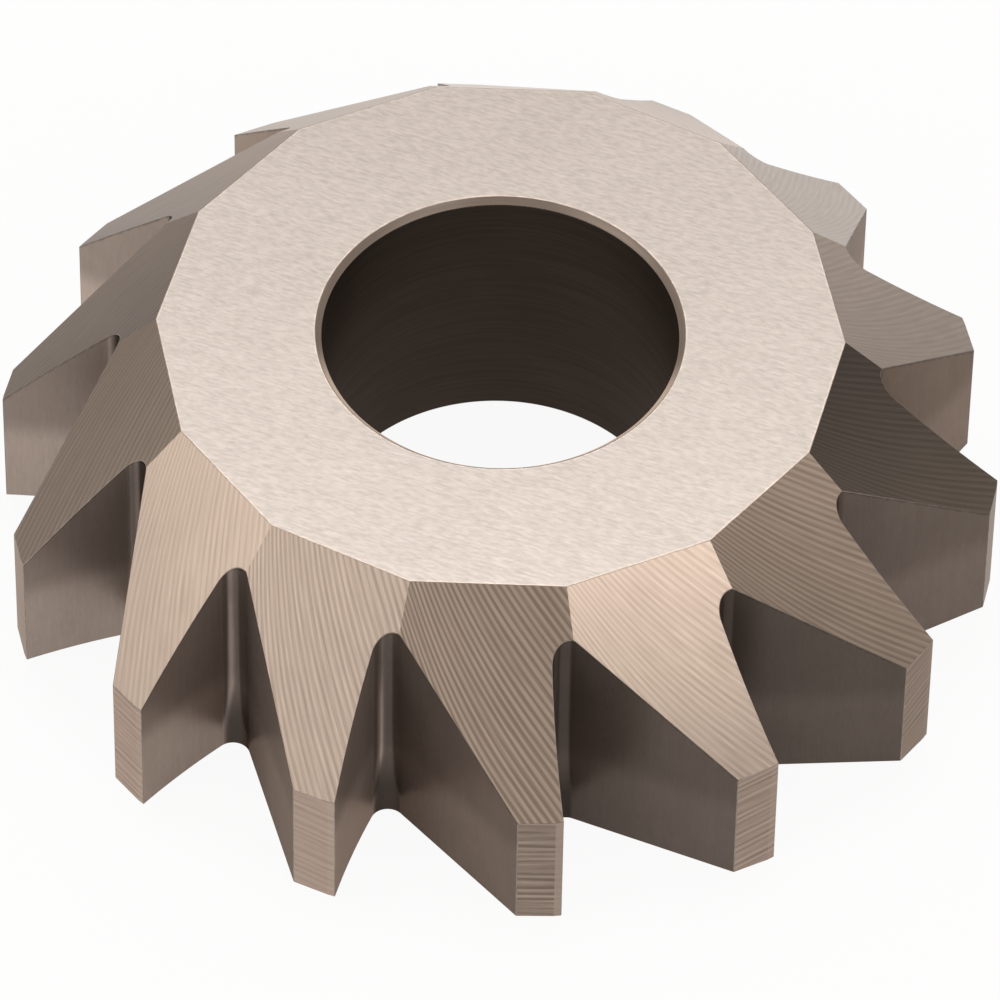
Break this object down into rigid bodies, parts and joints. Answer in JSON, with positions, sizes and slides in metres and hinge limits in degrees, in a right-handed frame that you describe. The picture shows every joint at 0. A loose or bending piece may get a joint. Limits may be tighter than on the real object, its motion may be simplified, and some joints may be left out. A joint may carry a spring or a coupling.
{
  "type": "headset reamer",
  "caption": "Ring-shaped cutter ground from one piece of steel, with sloping facets on its teeth, straight V-shaped gullets and a plain bore.",
  "frame": {"origin": "centre of the bore at the flat back face, which the cutter rests on", "axes": "+Z along the bore axis, out through the small front face; the first facet looks along -Y"},
  "size_m": [0.041, 0.0408, 0.0125],
  "materials": {
    "ground_steel": "bare ground high-speed steel with coarse grinding lines on the facets and a fine grain on the front face"
  },
  "bodies": {
    "root": {"reamer_cutter": "ground_steel"}
  },
  "joints": []
}
